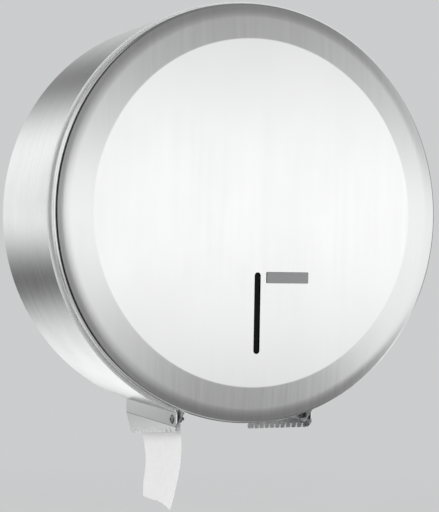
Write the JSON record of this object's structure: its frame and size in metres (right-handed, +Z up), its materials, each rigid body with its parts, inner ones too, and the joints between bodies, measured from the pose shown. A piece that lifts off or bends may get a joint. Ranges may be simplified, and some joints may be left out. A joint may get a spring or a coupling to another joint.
{
  "type": "jumbo toilet roll dispenser",
  "caption": "Round wall dispenser in brushed steel for a jumbo toilet roll, with a drop-down lid, sight slot, top lock and serrated tear plates beside the paper outlet.",
  "frame": {"origin": "centre of the four wall fixings, on the wall face of the back plate", "axes": "+Y into the wall, +Z up, +X to the right of someone facing the dispenser"},
  "size_m": [0.314, 0.1283, 0.3849],
  "materials": {
    "drum_steel": "brushed round the drum",
    "lid_steel": "fine brushed",
    "plate_steel": "mill finish",
    "fastener_steel": "bright zinc",
    "lock_chrome": "polished",
    "key_brass": "worn",
    "window_smoke": "smoked, glossy",
    "hub_plastic": "moulded, satin",
    "core_board": "spiral-wound board",
    "tissue": "soft tissue"
  },
  "bodies": {
    "housing": {"back_plate": "plate_steel", "drum_band": "drum_steel", "tear_plate_left": "drum_steel", "tear_plate_right": "drum_steel", "pivot_rivets": "fastener_steel", "spindle_flange": "plate_steel", "spindle_axle": "fastener_steel", "spindle_rivets": "fastener_steel", "hub_washer": "fastener_steel", "hub_screw": "fastener_steel", "paper_tail": "tissue", "lock_barrel": "lock_chrome", "lock_nut": "fastener_steel"},
    "lid": {"lid_panel": "lid_steel", "lid_ear_left": "plate_steel", "lid_ear_right": "plate_steel", "sight_window": "window_smoke", "lock_striker": "plate_steel"},
    "lock_core": {"lock_plug": "key_brass", "lock_cam": "fastener_steel", "cam_screw": "fastener_steel"},
    "roll": {"core_hub": "hub_plastic", "paper_core": "core_board", "paper_roll": "tissue"}
  },
  "joints": [
    {"name": "lid_hinge", "type": "hinge", "parent": "housing", "child": "lid", "pos_m": [0, -0.1045, -0.15227], "axis": [1, 0, 0], "range_deg": [0, 100]},
    {"name": "lock_turn", "type": "hinge", "parent": "housing", "child": "lock_core", "pos_m": [0, -0.086, 0.148], "axis": [0, 0, 1], "range_deg": [0, 90]},
    {"name": "roll_spin", "type": "hinge", "parent": "housing", "child": "roll", "pos_m": [0, -0.05, 0], "axis": [0, 1, 0], "continuous": true}
  ]
}
